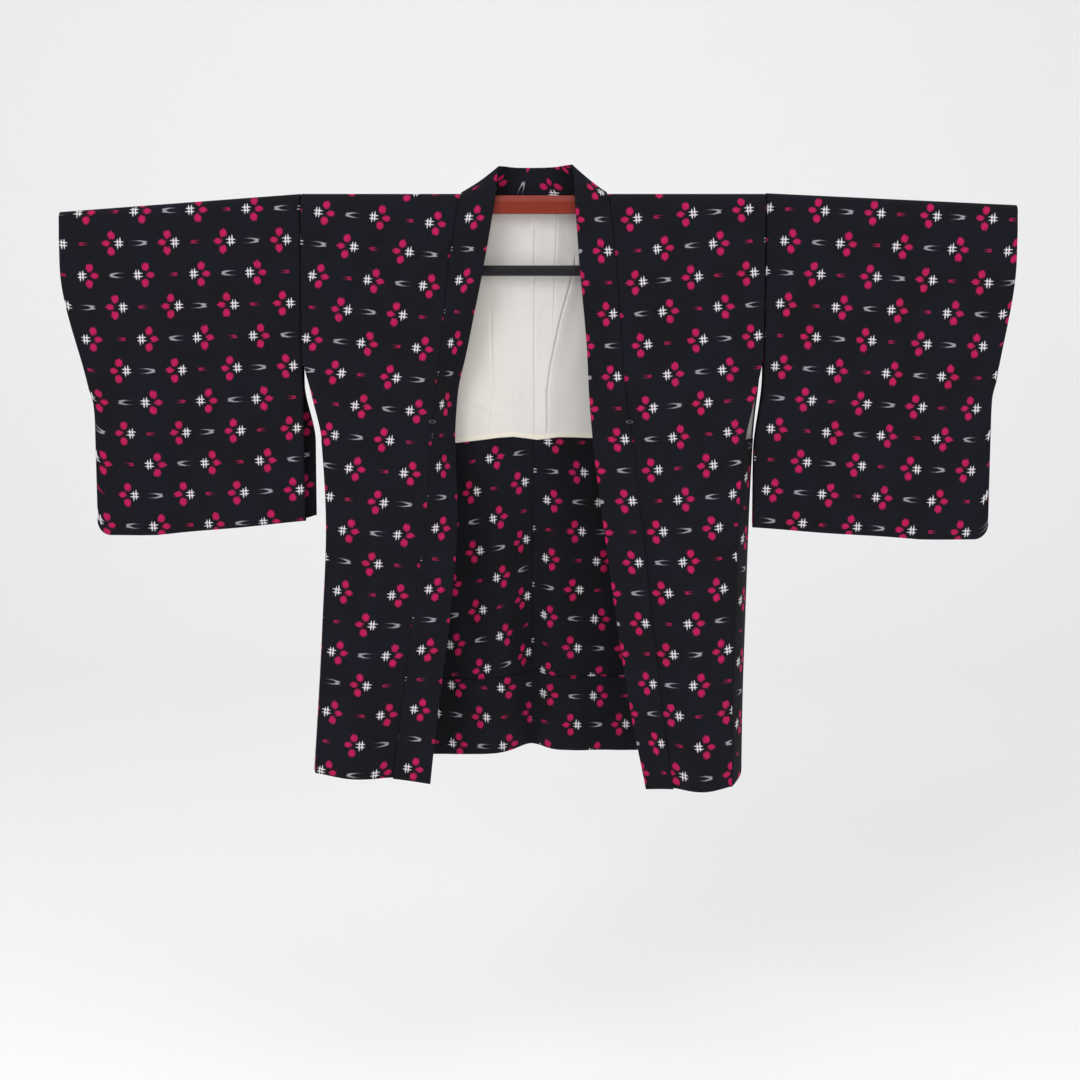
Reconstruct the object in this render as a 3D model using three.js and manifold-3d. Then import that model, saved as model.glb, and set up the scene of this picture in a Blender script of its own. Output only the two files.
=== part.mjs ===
// A haori jacket hung on a kimono hanger.
// Millimetres, +Z up. The front of the haori faces -Y, and left and right are as seen from the front.
// The origin is the middle of the hanger's bar, which is where the part is held.

import * as THREE from "three";
import { mergeVertices } from "three/addons/utils/BufferGeometryUtils.js";
import Module from "manifold-3d";

const { lerp, smoothstep, degToRad } = THREE.MathUtils;

// ---- Driving dimensions: the cloth ----
const CLOTH_WALL = 1.2;
const COLLAR_WALL = 2.4;
const LINING_WALL = 1.0;
const SEAM_GAP = 0.3;
const LAYER_GAP = 0.35;

const GUSSET_TOP = -310;
const BACK_HEM = -757;
const LINING_HEM = -312;
const FACING_TOP = -650;
const NECK_HALF_WIDTH = 92;
const CENTRE_SEAM_GAP = 1.0;
const COLLAR_SEAM_GAP = 1.15;
const GUSSET_SEAM_GAP = 1.25;

// ---- Driving dimensions: the sleeves ----
const CUFF_OPENING = 230;
const SLEEVE_CORNER = 20;
const SLEEVE_HEM_RADIUS = 3;
const SLEEVE_HALF_DEPTH = { top: 10.5, low: 5.5 };
const SLEEVE_RIPPLE = 3;
const FOLD_RADIUS = 8.5;

// ---- Driving dimensions: the hanger ----
const BAR = { halfLength: 300, height: 24, depth: 18, bevelHeight: 8.5, bevelDepth: 5 };
const ARM = { radius: 6, height: 1.5, socketDepth: 30, socketClearance: 0.3, cuffSetback: 14 };
const ROD = { radius: 7, drop: 86.5, halfLength: 190, sides: 16 };
const LINK = { width: 12, depth: 5, inset: 14 };

const COLORS = {
  kasuri: 0x1d1b20,
  lining: 0xc9c4bf,
  lacquer: 0x8b3a2c,
  black: 0x26242a,
  cord: 0x9a96a0,
};

// How each front hangs, a row for each height. The fold is the collar's inner edge, the seam
// joins collar and front, and the side is the front's outer edge. The belly is how far the
// middle of the front swings forward of a straight line from seam to side.
const LEFT_FRONT = [
  { z: 0, foldX: -56, foldY: -16, seamX: -103, seamY: -14, sideX: -310, sideY: -12, belly: 0 },
  { z: -90, foldX: -72, foldY: -17, seamX: -117, seamY: -17, sideX: -311, sideY: -13, belly: 1 },
  { z: -190, foldX: -93, foldY: -6, seamX: -127, seamY: -21, sideX: -311, sideY: -14, belly: 2 },
  { z: -250, foldX: -107, foldY: 6, seamX: -135, seamY: -24, sideX: -299, sideY: -15, belly: 4 },
  { z: -310, foldX: -111, foldY: 8, seamX: -140, seamY: -25, sideX: -286, sideY: -17, belly: 6 },
  { z: -420, foldX: -107, foldY: -8, seamX: -149, seamY: -24, sideX: -281, sideY: -19, belly: 8 },
  { z: -560, foldX: -118, foldY: -18, seamX: -168, seamY: -20, sideX: -287, sideY: -20, belly: 11 },
  { z: -680, foldX: -134, foldY: -21, seamX: -183, seamY: -15, sideX: -294, sideY: -19, belly: 14 },
  { z: -780, foldX: -145, foldY: -21, seamX: -196, seamY: -10, sideX: -301, sideY: -18, belly: 17 },
];
const RIGHT_FRONT = [
  { z: 0, foldX: 50, foldY: -16, seamX: 95, seamY: -14, sideX: 300, sideY: -12, belly: 0 },
  { z: -90, foldX: 57, foldY: -17, seamX: 105, seamY: -17, sideX: 300, sideY: -13, belly: 1 },
  { z: -190, foldX: 66, foldY: -18, seamX: 112, seamY: -22, sideX: 300, sideY: -12, belly: 2 },
  { z: -250, foldX: 69, foldY: -19, seamX: 117, seamY: -25, sideX: 290, sideY: -14, belly: 4 },
  { z: -310, foldX: 74, foldY: -20, seamX: 126, seamY: -27, sideX: 277, sideY: -18, belly: 6 },
  { z: -420, foldX: 88, foldY: -20, seamX: 139, seamY: -28, sideX: 268, sideY: -22, belly: 8 },
  { z: -560, foldX: 108, foldY: -19, seamX: 154, seamY: -30, sideX: 264, sideY: -28, belly: 11 },
  { z: -680, foldX: 127, foldY: -18, seamX: 169, seamY: -31, sideX: 261, sideY: -36, belly: 16 },
  { z: -785, foldX: 148, foldY: -18, seamX: 184, seamY: -30, sideX: 261, sideY: -45, belly: 21 },
];

// How each back hangs: the side edge, and the depth of the cloth across the back.
const LEFT_BACK = [
  { z: 0, sideX: -310, sideY: 12, backY: 15 },
  { z: -190, sideX: -311, sideY: 12, backY: 24 },
  { z: -310, sideX: -287, sideY: 8, backY: 31 },
  { z: -420, sideX: -281, sideY: 16, backY: 37 },
  { z: -560, sideX: -286, sideY: 25, backY: 44 },
  { z: -757, sideX: -297, sideY: 39, backY: 47 },
];
const RIGHT_BACK = [
  { z: 0, sideX: 300, sideY: 12, backY: 15 },
  { z: -190, sideX: 300, sideY: 10, backY: 26 },
  { z: -310, sideX: 290, sideY: 8, backY: 36 },
  { z: -420, sideX: 286, sideY: 9, backY: 45 },
  { z: -560, sideX: 283, sideY: 10, backY: 56 },
  { z: -757, sideX: 279, sideY: 11, backY: 66 },
];

// The lengths of the two fronts at the collar's fold and at the side.
const FRONT_HEM = { left: { fold: -778, side: -764 }, right: { fold: -786, side: -774 } };

// The collar's route over the shoulders and round the neck, from left to right: the fold is its
// top edge, and the seam is where it leaves the body.
const NECK = [
  { foldX: -53, foldY: -13, foldZ: 30, seamX: -100, seamY: -9.5, seamZ: 11 },
  { foldX: -51, foldY: -5, foldZ: 47, seamX: -97, seamY: 1, seamZ: 15.6 },
  { foldX: -44, foldY: 12, foldZ: 50, seamX: -92, seamY: 11, seamZ: 11.5 },
  { foldX: -26, foldY: 23, foldZ: 50, seamX: -60, seamY: 16.5, seamZ: 5 },
  { foldX: -2, foldY: 27, foldZ: 50, seamX: -2, seamY: 17.5, seamZ: 5 },
  { foldX: 24, foldY: 24, foldZ: 51, seamX: 60, seamY: 16.5, seamZ: 5 },
  { foldX: 41, foldY: 12, foldZ: 52, seamX: 86, seamY: 11, seamZ: 11.5 },
  { foldX: 47, foldY: -5, foldZ: 49, seamX: 90, seamY: 1, seamZ: 15.6 },
  { foldX: 49, foldY: -13, foldZ: 30, seamX: 92, seamY: -9.5, seamZ: 11 },
];

// Each sleeve: its outline, how far its back edge reaches past the front one below the armhole,
// how far both lean in beside the body there, and how far the hanger's arm droops inside it.
const SLEEVES = {
  left: { side: -1, seamX: 311.6, topInner: 13.5, topOuter: -10, cuffTop: 629, cuffLow: 591,
    hemInner: -421, hemOuter: -440, backReach: 14, lean: 0, armDroop: 3.45 },
  right: { side: 1, seamX: 301.6, topInner: 14.5, topOuter: -1, cuffTop: 632, cuffLow: 607,
    hemInner: -430, hemOuter: -446, backReach: 0, lean: 11, armDroop: 1.8 },
};

// ---- Surfaces and walls ----

/** One column of a hanging table at height z, as a cubic through its rows that never overshoots. */
function hang(table, column, z) {
  const last = table.length - 1;
  const next = table.findIndex((row) => row.z < z);
  if (next === 0) return table[0][column];
  if (next < 0) return table[last][column];
  const rise = (index) => table[index + 1][column] - table[index][column];
  const secant = (index) => rise(index) / (table[index + 1].z - table[index].z);
  const slope = (index) => {
    const above = secant(Math.max(index - 1, 0));
    const below = secant(Math.min(index, last - 1));
    return above * below <= 0 ? 0 : 2 * above * below / (above + below);
  };
  const upper = table[next - 1];
  const lower = table[next];
  const span = lower.z - upper.z;
  const t = (z - upper.z) / span;
  const curve = (2 * t ** 3 - 3 * t ** 2 + 1) * upper[column] + (3 * t ** 2 - 2 * t ** 3) * lower[column];
  return curve + span * ((t ** 3 - 2 * t ** 2 + t) * slope(next - 1) + (t ** 3 - t ** 2) * slope(next));
}

/** A net of quads over rows and columns, left out where keep says no. */
function net(rows, columns, pointAt, keep = () => true, closed = false) {
  const index = (row, column) => (row % rows) * columns + column;
  const points = [];
  for (let row = 0; row < rows; row += 1) {
    for (let column = 0; column < columns; column += 1) points.push(pointAt(row, column));
  }
  const quads = [];
  for (let row = 0; row < (closed ? rows : rows - 1); row += 1) {
    for (let column = 0; column < columns - 1; column += 1) {
      if (!keep(row, column)) continue;
      const next = row + 1;
      quads.push([index(row, column), index(row, column + 1), index(next, column + 1), index(next, column)]);
    }
  }
  return { points, quads };
}

/** The normal of a net at each point, averaged over the quads that meet there. */
function netNormals({ points, quads }) {
  const normals = points.map(() => new THREE.Vector3());
  for (const quad of quads) {
    const [a, b, c, d] = quad.map((corner) => points[corner]);
    const face = new THREE.Vector3().subVectors(c, a).cross(new THREE.Vector3().subVectors(d, b)).normalize();
    quad.forEach((corner) => normals[corner].add(face));
  }
  return normals.map((normal) => normal.normalize());
}

/** The same net, moved along its normals. */
function shifted(surface, distance) {
  const normals = netNormals(surface);
  const points = surface.points.map((point, i) => point.clone().addScaledVector(normals[i], distance));
  return { points, quads: surface.quads };
}

/** The closed wall of cloth, half its thickness on each side of a net. */
function wallGeometry(surface, thickness) {
  const outer = shifted(surface, thickness / 2).points;
  const inner = shifted(surface, -thickness / 2).points;
  const faces = [];
  const edges = new Map();
  for (const quad of surface.quads) {
    const [a, b, c, d] = quad;
    faces.push([outer[a], outer[b], outer[c]], [outer[a], outer[c], outer[d]]);
    faces.push([inner[a], inner[c], inner[b]], [inner[a], inner[d], inner[c]]);
    quad.forEach((from, i) => {
      const to = quad[(i + 1) % 4];
      if (!edges.delete(`${to},${from}`)) edges.set(`${from},${to}`, [from, to]);
    });
  }
  for (const [from, to] of edges.values()) {
    faces.push([outer[from], inner[from], inner[to]], [outer[from], inner[to], outer[to]]);
  }
  const geometry = new THREE.BufferGeometry().setFromPoints(faces.flat());
  geometry.computeVertexNormals();
  return geometry;
}

function material(color, roughness = 0.9, metalness = 0) {
  return new THREE.MeshStandardMaterial({ color, roughness, metalness });
}

function piece(name, geometry, look) {
  const mesh = new THREE.Mesh(geometry, look);
  mesh.name = name;
  return mesh;
}

const kasuri = material(COLORS.kasuri, 0.85);
const liningCloth = material(COLORS.lining, 0.7);
const lacquer = material(COLORS.lacquer, 0.3);
const blackPaint = material(COLORS.black, 0.35);
const cord = material(COLORS.cord, 0.8);

// ---- The body ----

const FRONTS = { left: LEFT_FRONT, right: RIGHT_FRONT };
const BACKS = { left: LEFT_BACK, right: RIGHT_BACK };
const SIDES = { left: -1, right: 1 };
const VALLEY = { x: -8, depth: 42, halfWidth: 26, top: -330 };

/** A point of a front panel: across runs from the collar seam to the side, down from top to hem. */
function frontPoint(side, across, down) {
  const table = FRONTS[side];
  const outward = SIDES[side];
  const hem = FRONT_HEM[side];
  const z = lerp(0, lerp(hem.fold + 5, hem.side, across), down);
  const x = lerp(hang(table, "seamX", z) + outward * COLLAR_SEAM_GAP, hang(table, "sideX", z), across);
  const line = lerp(hang(table, "seamY", z), hang(table, "sideY", z), across);
  const belly = hang(table, "belly", z) * Math.sin(Math.PI * across) ** 1.4;
  return new THREE.Vector3(x, line - belly, z);
}

/** A point of a back panel: across runs from the centre seam to the side. */
function backPoint(side, across, down, top = 0) {
  const table = BACKS[side];
  const z = lerp(top, BACK_HEM, down);
  const centre = SIDES[side] * CENTRE_SEAM_GAP / 2 + VALLEY.x * smoothstep(-z, 300, 700);
  const x = lerp(centre, hang(table, "sideX", z), across);
  const turn = smoothstep(across, 0.55, 1) ** 2;
  const fall = Math.min(Math.max((VALLEY.top - z) / (VALLEY.top - BACK_HEM), 0), 1);
  const valley = VALLEY.depth * fall ** 0.8 * Math.exp(-(((x - VALLEY.x) / VALLEY.halfWidth) ** 2));
  const shared = (hang(LEFT_BACK, "backY", z) + hang(RIGHT_BACK, "backY", z)) / 2;
  const depth = lerp(shared, hang(table, "backY", z), smoothstep(across, 0, 0.25));
  return new THREE.Vector3(x, lerp(depth, hang(table, "sideY", z), turn) + valley, z);
}

/** How far down the back each row of its net lies, from the hem up to the neck. */
const BACK_ROWS = [
  1, 0.94, FACING_TOP / BACK_HEM, 0.75, 0.62, 0.5, LINING_HEM / BACK_HEM, 0.32, 0.22, 0.12, 0.04, 0,
];
const FRONT_ROWS = [0, 0.06, 0.14, 0.24, 0.32, 0.4, 0.5, 0.62, 0.74, 0.86, 0.94, 1];
const NECK_SHARES = [0, 0.04, 0.12, 0.21];
const SHOULDER_COLUMNS = 6;
const SIDE_INSET = 0.03;

/** How far across the back each column of its net lies: the neck first, then the shoulder. */
function backShares(side) {
  const seam = NECK_HALF_WIDTH / Math.abs(BACKS[side][0].sideX);
  const steps = Array.from({ length: SHOULDER_COLUMNS + 1 }, (_, i) => i / SHOULDER_COLUMNS);
  return [...NECK_SHARES, ...steps.map((step) => lerp(seam, 1, step))];
}

/** The path of the cloth over the hanger's bar, from the back to the front, just clear of its faces. */
function archRows() {
  const clear = CLOTH_WALL / 2 + LAYER_GAP + 0.1;
  const slant = Math.hypot(BAR.bevelHeight, BAR.bevelDepth);
  const shoulderY = BAR.depth / 2 - BAR.bevelDepth + clear * (slant - BAR.bevelDepth) / BAR.bevelHeight;
  const sideZ = BAR.height / 2 - BAR.bevelHeight + clear * (slant - BAR.bevelHeight) / BAR.bevelDepth;
  const side = { y: BAR.depth / 2 + clear, z: sideZ };
  const shoulder = { y: shoulderY, z: BAR.height / 2 + clear };
  return [side, shoulder, { y: -shoulder.y, z: shoulder.z }, { y: -side.y, z: side.z }];
}

/** One body panel: the back, the arch over the shoulder and the front, with the neck left open. */
function bodyNet(side) {
  const shares = backShares(side);
  const neckColumns = NECK_SHARES.length;
  const arch = archRows();
  const frontShare = (column) => Math.max(column - neckColumns, 0) / SHOULDER_COLUMNS;
  const pointAt = (row, column) => {
    if (row < BACK_ROWS.length) return backPoint(side, shares[column], BACK_ROWS[row]);
    const archRow = row - BACK_ROWS.length;
    const frontRow = archRow - arch.length;
    if (frontRow >= 0) return frontPoint(side, frontShare(column), FRONT_ROWS[frontRow]);
    const back = backPoint(side, shares[column], 0);
    const front = frontPoint(side, frontShare(column), 0);
    const { y, z } = arch[archRow];
    return new THREE.Vector3(lerp(back.x, front.x, (archRow + 1) / (arch.length + 1)), y, z);
  };
  const keep = (row, column) => row < BACK_ROWS.length - 1 || column >= neckColumns;
  const surface = net(BACK_ROWS.length + arch.length + FRONT_ROWS.length, shares.length, pointAt, keep);
  if (SIDES[side] > 0) surface.quads.forEach((quad) => quad.reverse());
  return surface;
}

/** The back panel between two heights, on its own rows and columns, set in from the centre seam. */
function innerBackNet(side, top, hem, centreInset) {
  const rows = BACK_ROWS.filter((down) => down * BACK_HEM <= top + 0.01 && down * BACK_HEM >= hem - 0.01);
  const shares = backShares(side);
  const last = shares.length - 1;
  const surface = net(rows.length, shares.length, (row, column) => {
    const point = backPoint(side, shares[column], rows[row]);
    if (column === last) return point.lerp(backPoint(side, shares[last - 1], rows[row]), SIDE_INSET);
    if (column > 0) return point;
    const next = backPoint(side, shares[1], rows[row]);
    return point.lerp(next, centreInset / point.distanceTo(next));
  });
  if (SIDES[side] > 0) surface.quads.forEach((quad) => quad.reverse());
  return surface;
}

/** The side edge of a panel at height z. */
function sideEdge(table, z) {
  return new THREE.Vector3(hang(table, "sideX", z), hang(table, "sideY", z), z);
}

/** The tapered strip between the front's side and the back's side. */
function gussetNet(side) {
  const rows = 10;
  const columns = 4;
  const outward = SIDES[side];
  const surface = net(rows, columns, (row, column) => {
    const down = row / (rows - 1);
    const frontZ = lerp(GUSSET_TOP, FRONT_HEM[side].side, down);
    const backZ = lerp(GUSSET_TOP, BACK_HEM, down);
    const frontEdge = sideEdge(FRONTS[side], frontZ);
    const backEdge = sideEdge(BACKS[side], backZ);
    const along = backEdge.clone().sub(frontEdge);
    const margin = GUSSET_SEAM_GAP / along.length();
    const across = lerp(margin, 1 - margin, column / (columns - 1));
    const point = frontEdge.addScaledVector(along, across);
    point.x += outward * (1.2 + 5 * down * Math.sin(Math.PI * across));
    return point;
  });
  if (outward < 0) surface.quads.forEach((quad) => quad.reverse());
  return surface;
}

// ---- The collar ----

/** The seam end of each hem lies a little higher than the fold end. */
const SEAM_RISE = 0.995;

/** The collar band: up the left front, round the neck and down the right front. */
function collarNet() {
  const steps = [1, 0.93, 0.85, 0.76, 0.67, 0.58, 0.5, 0.43, 0.37, 0.31, 0.25, 0.18, 0.11, 0.05, 0];
  const frontRow = (side, down) => {
    const z = FRONT_HEM[side].fold * down;
    const [foldX, foldY, seamX, seamY] = ["foldX", "foldY", "seamX", "seamY"].map(
      (column) => hang(FRONTS[side], column, z));
    return { foldX, foldY, foldZ: z, seamX, seamY, seamZ: z * SEAM_RISE };
  };
  const route = [
    ...steps.map((down) => frontRow("left", down)),
    ...NECK,
    ...steps.map((down) => frontRow("right", down)).reverse(),
  ];
  const columns = 4;
  return net(route.length, columns, (row, column) => {
    const { foldX, foldY, foldZ, seamX, seamY, seamZ } = route[row];
    const fold = new THREE.Vector3(foldX, foldY, foldZ);
    return fold.lerp(new THREE.Vector3(seamX, seamY, seamZ), column / (columns - 1));
  });
}

// ---- The sleeves ----

/** A sleeve as one closed loop of cloth, open at the cuff and at the body. */
function sleeveNet(side) {
  const shape = SLEEVES[side];
  const lengths = [0, 0.16, 0.32, 0.48, 0.64, 0.8, 0.94, 0.965, 0.985, 1];
  const archAngles = [-90, -45, 0, 45, 90];
  const depths = [60, 120, 180, 225, 250, 310, 370];
  const hemAngles = [90, 35, -35, -90];
  const cornerStart = 0.94;
  const ring = [
    ...archAngles.map((angle) => ({ angle, part: "arch" })),
    ...depths.map((depth) => ({ depth, way: -1, part: "panel" })),
    ...hemAngles.map((angle) => ({ angle, part: "hem" })),
    ...depths.map((depth) => ({ depth, way: 1, part: "panel" })).reverse(),
  ];
  const pointAt = (row, column) => {
    const along = lengths[column];
    const { part, angle, depth = 0, way = 0 } = ring[row];
    const foldZ = lerp(shape.topInner, shape.topOuter, along) - FOLD_RADIUS;
    const corner = Math.max((along - cornerStart) / (1 - cornerStart), 0);
    const cut = SLEEVE_CORNER * (1 - Math.sqrt(1 - corner ** 2));
    const hemZ = lerp(shape.hemInner, shape.hemOuter, Math.min(along * 1.4, 1)) + cut;
    const pinch = smoothstep(along, 0.7, 1);
    const hemRadius = lerp(SLEEVE_HEM_RADIUS, CLOTH_WALL, pinch);
    if (part === "arch") {
      const turn = degToRad(angle);
      const x = lerp(shape.seamX, shape.cuffTop, along);
      const z = foldZ + FOLD_RADIUS * Math.cos(turn);
      return new THREE.Vector3(shape.side * x, -FOLD_RADIUS * Math.sin(turn), z);
    }
    const panelDepth = part === "hem" ? foldZ - hemZ : depth;
    const closing = pinch * smoothstep(panelDepth, CUFF_OPENING - 10, CUFF_OPENING + 15);
    const free = lerp(SLEEVE_HALF_DEPTH.top, SLEEVE_HALF_DEPTH.low, smoothstep(panelDepth, 150, 430));
    const half = lerp(free, hemRadius, closing);
    const ripple = SLEEVE_RIPPLE * smoothstep(panelDepth, 80, 430) * Math.sin(along * 12 + 1) * (1 - pinch);
    const reach = way > 0 ? shape.backReach * smoothstep(panelDepth, 240, 320) : 0;
    const inner = shape.seamX - reach - shape.lean * smoothstep(panelDepth, 230, 340);
    const cuff = lerp(shape.cuffTop, shape.cuffLow, smoothstep(panelDepth, 60, CUFF_OPENING + 40));
    const x = shape.side * lerp(inner, cuff, along);
    if (part === "hem") {
      const turn = degToRad(angle);
      const z = hemZ + hemRadius * (1 - Math.cos(turn));
      return new THREE.Vector3(x, -hemRadius * Math.sin(turn) + ripple, z);
    }
    const stretch = (foldZ - hemZ) / (foldZ - shape.hemOuter);
    return new THREE.Vector3(x, way * half + ripple, foldZ - panelDepth * stretch);
  };
  const surface = net(ring.length, lengths.length, pointAt, () => true, true);
  if (shape.side > 0) surface.quads.forEach((quad) => quad.reverse());
  return surface;
}

// ---- The hanger ----

async function hangerBar(arms) {
  const wasm = await Module();
  wasm.setup();
  const toSolid = (geometry) => {
    const bare = geometry.index ? geometry.toNonIndexed() : geometry;
    bare.deleteAttribute("normal");
    bare.deleteAttribute("uv");
    const merged = mergeVertices(bare, 1e-4);
    const vertProperties = new Float32Array(merged.attributes.position.array);
    const triVerts = new Uint32Array(merged.index.array);
    return new wasm.Manifold(new wasm.Mesh({ numProp: 3, vertProperties, triVerts }));
  };
  const bottom = -BAR.height / 2;
  const top = BAR.height / 2;
  const halfDepth = BAR.depth / 2;
  const section = new THREE.Shape([
    new THREE.Vector2(-halfDepth, bottom),
    new THREE.Vector2(halfDepth, bottom),
    new THREE.Vector2(halfDepth, top - BAR.bevelHeight),
    new THREE.Vector2(halfDepth - BAR.bevelDepth, top),
    new THREE.Vector2(BAR.bevelDepth - halfDepth, top),
    new THREE.Vector2(-halfDepth, top - BAR.bevelHeight),
  ]);
  const bar = new THREE.ExtrudeGeometry(section, { depth: 2 * BAR.halfLength, bevelEnabled: false });
  bar.translate(0, 0, -BAR.halfLength);
  bar.applyMatrix4(new THREE.Matrix4().set(0, 0, 1, 0, 1, 0, 0, 0, 0, 1, 0, 0, 0, 0, 0, 1));
  let solid = toSolid(bar);
  for (const { outward, axis } of arms) {
    const socket = new THREE.CylinderGeometry(
      ARM.radius + ARM.socketClearance, ARM.radius + ARM.socketClearance, 2 * ARM.socketDepth, ROD.sides);
    socket.applyQuaternion(new THREE.Quaternion().setFromUnitVectors(new THREE.Vector3(0, 1, 0), axis));
    socket.translate(outward * BAR.halfLength, 0, ARM.height);
    solid = solid.subtract(toSolid(socket));
  }
  const { vertProperties, triVerts } = solid.getMesh();
  const geometry = new THREE.BufferGeometry();
  geometry.setAttribute("position", new THREE.BufferAttribute(vertProperties, 3));
  geometry.setIndex(new THREE.BufferAttribute(triVerts, 1));
  return geometry;
}

/** Which way each telescopic arm runs out of the bar. */
function armRoute(side) {
  const { side: outward, armDroop } = SLEEVES[side];
  const droop = degToRad(armDroop);
  return { outward, axis: new THREE.Vector3(outward * Math.cos(droop), 0, -Math.sin(droop)) };
}

function armGeometry(side) {
  const { outward, axis } = armRoute(side);
  const reach = (SLEEVES[side].cuffTop - BAR.halfLength - ARM.cuffSetback) / Math.abs(axis.x);
  const inside = ARM.socketDepth - 1;
  const arm = new THREE.CylinderGeometry(ARM.radius, ARM.radius, reach + inside, ROD.sides);
  arm.applyQuaternion(new THREE.Quaternion().setFromUnitVectors(new THREE.Vector3(0, 1, 0), axis));
  const middle = axis.clone().multiplyScalar((reach - inside) / 2);
  arm.translate(outward * BAR.halfLength + middle.x, 0, ARM.height + middle.z);
  return arm;
}

function rodGeometry() {
  const rod = new THREE.CylinderGeometry(ROD.radius, ROD.radius, 2 * ROD.halfLength, ROD.sides);
  rod.rotateZ(Math.PI / 2);
  rod.translate(0, 0, -ROD.drop);
  return rod;
}

function linkGeometry(outward) {
  const top = -BAR.height / 2 - SEAM_GAP;
  const bottom = ROD.radius - ROD.drop + SEAM_GAP;
  const link = new THREE.BoxGeometry(LINK.width, LINK.depth, top - bottom);
  link.translate(outward * (ROD.halfLength - LINK.inset), 0, (top + bottom) / 2);
  return link;
}

// ---- The cord loops on the collar ----

const LOOP = { height: -285, reach: 8, half: 3, cordRadius: 0.8 };

/** A small loop of cord that stands off the collar seam and takes the jacket's tie. */
function loopGeometry(side) {
  const table = FRONTS[side];
  const seamX = hang(table, "seamX", LOOP.height);
  const clearY = hang(table, "seamY", LOOP.height) - COLLAR_WALL / 2 - LOOP.cordRadius - SEAM_GAP;
  const loop = new THREE.TorusGeometry(LOOP.half, LOOP.cordRadius, 6, 16);
  loop.scale(LOOP.reach / (2 * LOOP.half), 0.6, 1);
  loop.rotateX(Math.PI / 2);
  loop.translate(seamX, clearY, LOOP.height);
  return loop;
}

// ---- The whole part ----

const haori = new THREE.Group();
haori.name = "haori_on_hanger";

for (const side of ["left", "right"]) {
  haori.add(piece(`body_panel_${side}`, wallGeometry(bodyNet(side), CLOTH_WALL), kasuri));
  haori.add(piece(`gusset_${side}`, wallGeometry(gussetNet(side), CLOTH_WALL), kasuri));
  haori.add(piece(`sleeve_${side}`, wallGeometry(sleeveNet(side), CLOTH_WALL), kasuri));

  const liningStep = CLOTH_WALL / 2 + LAYER_GAP + LINING_WALL / 2;
  const liningNet = shifted(innerBackNet(side, 0, LINING_HEM, SEAM_GAP), -liningStep);
  haori.add(piece(`lining_${side}`, wallGeometry(liningNet, LINING_WALL), liningCloth));

  const facingStep = CLOTH_WALL + LAYER_GAP;
  const facingNet = shifted(innerBackNet(side, FACING_TOP, BACK_HEM, 2), -facingStep);
  haori.add(piece(`hem_facing_${side}`, wallGeometry(facingNet, CLOTH_WALL), kasuri));

  haori.add(piece(`tie_loop_${side}`, loopGeometry(side), cord));
  haori.add(piece(`hanger_arm_${side}`, armGeometry(side), blackPaint));
  haori.add(piece(`hanger_link_${side}`, linkGeometry(SIDES[side]), blackPaint));
}
haori.add(piece("collar", wallGeometry(collarNet(), COLLAR_WALL), kasuri));
haori.add(piece("hanger_bar", await hangerBar([armRoute("left"), armRoute("right")]), lacquer));
haori.add(piece("hanger_rod", rodGeometry(), blackPaint));

export default haori;
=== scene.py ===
"""A haori jacket of kasuri wool, hung open on a straight kimono hanger.

It is sewn from straight widths: two body widths from the back hem over the shoulder to the front
hem, two square sleeves, two side gussets, a collar band, an ivory half lining and a deep inner hem.
Each is a surface over two parameters, across and along the cloth, with a UV map in metres of cloth.
Sizes are in millimetres until a mesh is made. Left and right are as seen from the front, which is -Y.
"""
from __future__ import annotations

import logging
import math
from dataclasses import dataclass, field
from enum import Enum
from functools import partialmethod, reduce
from typing import ClassVar

import bpy
import numpy as np
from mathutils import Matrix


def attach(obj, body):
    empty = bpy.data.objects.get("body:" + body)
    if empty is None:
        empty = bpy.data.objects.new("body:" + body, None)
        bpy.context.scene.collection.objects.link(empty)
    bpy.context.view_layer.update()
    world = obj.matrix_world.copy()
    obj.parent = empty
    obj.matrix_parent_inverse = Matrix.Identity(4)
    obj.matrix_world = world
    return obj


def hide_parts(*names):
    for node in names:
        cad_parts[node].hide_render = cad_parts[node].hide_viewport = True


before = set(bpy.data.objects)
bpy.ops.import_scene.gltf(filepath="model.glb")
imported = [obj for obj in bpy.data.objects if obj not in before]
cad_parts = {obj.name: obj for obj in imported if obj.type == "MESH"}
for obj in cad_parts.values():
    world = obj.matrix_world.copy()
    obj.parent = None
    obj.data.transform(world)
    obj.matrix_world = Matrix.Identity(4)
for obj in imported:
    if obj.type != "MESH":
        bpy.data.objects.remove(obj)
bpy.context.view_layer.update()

LOG = logging.getLogger("haori")
Array = np.ndarray
Material = bpy.types.Material
Socket = bpy.types.NodeSocket
Thing = bpy.types.Object
Tree = bpy.types.NodeTree
MM = 0.001

# ---- Sizes shared by the widths of cloth ----

CLOTH_WALL = 1.2
COLLAR_WALL = 2.4
LINING_WALL = 0.8
LAYER_GAP = 0.35
CENTRE_GAP = -0.5
GUSSET_TOP = -310.0
BACK_HEM = -757.0
LINING_HEM = -312.0
FACING_TOP = -650.0
NECK_HALF_WIDTH = 92.0
BODY_WIDTH = 310.0
SEAM_LAP = 0.6
SLEEVE_WIDTH = 336.0
CUFF_OPENING = 230.0


class Side(Enum):
    """The two halves of the haori, as seen from the front, with the sign of their X."""

    LEFT = -1
    RIGHT = 1

    @property
    def word(self) -> str:
        """The half's name as it ends a piece's name."""
        return self.name.lower()


Rows = tuple[tuple[float, ...], ...]

# ---- Small helpers ----


def smooth(value: Array, low: float, high: float) -> Array:
    """A smooth step from 0 at low to 1 at high: 3t^2 - 2t^3, where t is the place between them."""
    t = np.clip((value - low) / (high - low), 0.0, 1.0)
    return t * t * (3.0 - 2.0 * t)


def mix(first: Array, second: Array, share: Array) -> Array:
    """The point a share of the way from the first value to the second."""
    return first + (second - first) * share


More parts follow.
